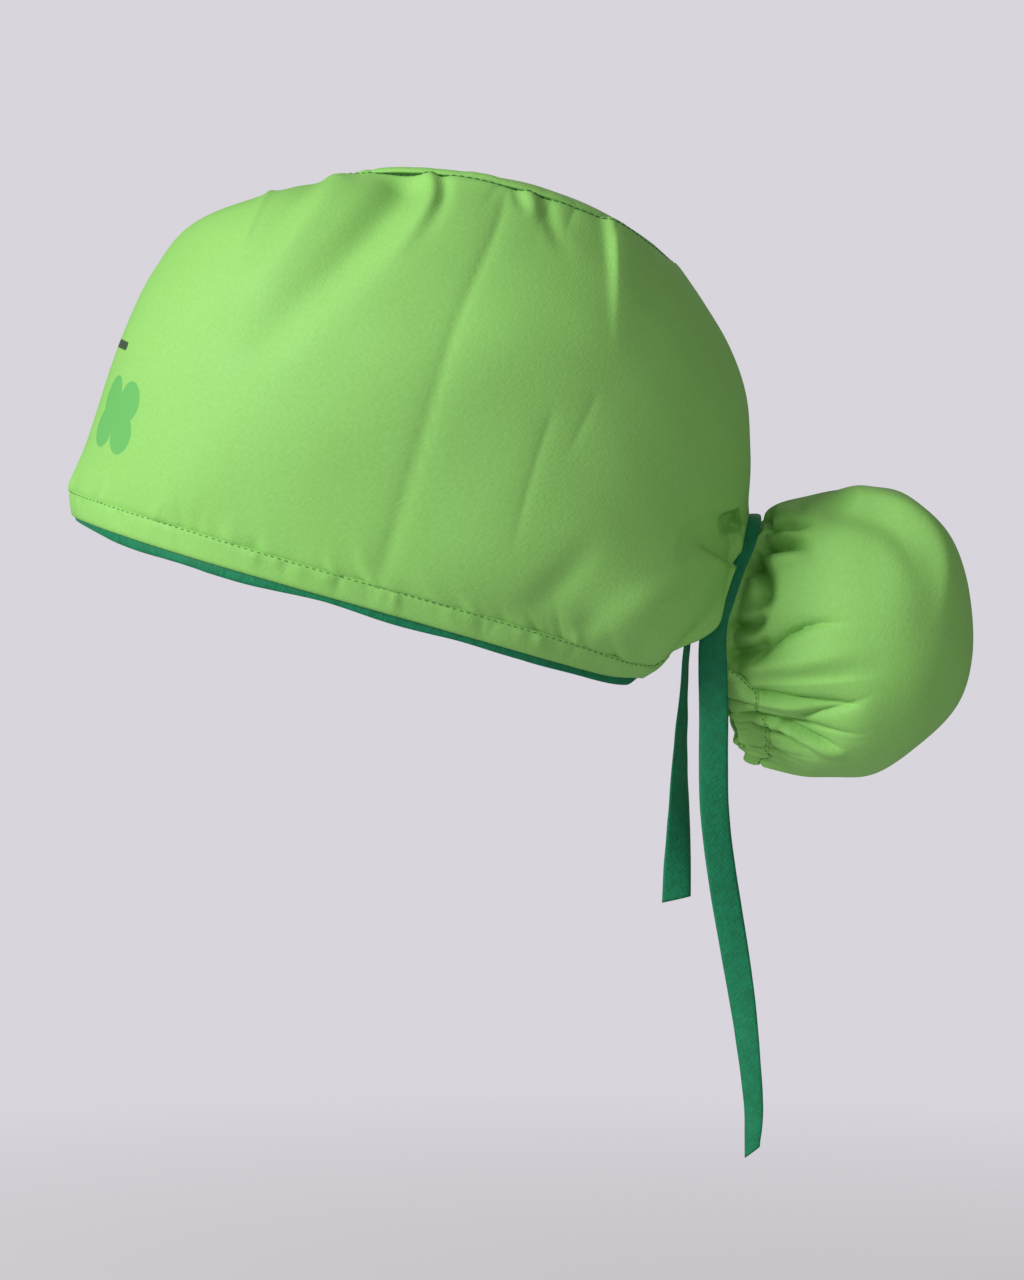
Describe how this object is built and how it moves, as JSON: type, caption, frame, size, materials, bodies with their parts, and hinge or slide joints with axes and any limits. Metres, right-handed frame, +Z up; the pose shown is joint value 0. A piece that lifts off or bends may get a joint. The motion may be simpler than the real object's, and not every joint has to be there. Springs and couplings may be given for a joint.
{
  "type": "ponytail scrub cap",
  "caption": "Rounded cloth scrub cap with an oval crown, a stitched hem, a round pouch for a ponytail at the back and hanging ribbon ties.",
  "frame": {"origin": "centre of the head opening, in the plane of the hem", "axes": "+Z up, -Y towards the wearer's front, +X towards the wearer's left"},
  "size_m": [0.1738, 0.3145, 0.3383],
  "materials": {
    "cap_cloth": "satin",
    "hem_cloth": "satin",
    "pouch_cloth": "satin",
    "ribbon": "matte"
  },
  "bodies": {
    "root": {"side_band": "cap_cloth", "crown_panel": "cap_cloth", "hem_band": "hem_cloth", "edge_ribbon": "ribbon", "ponytail_pouch": "pouch_cloth", "pouch_casing": "hem_cloth", "tie_long": "ribbon", "tie_short": "ribbon"}
  },
  "joints": []
}
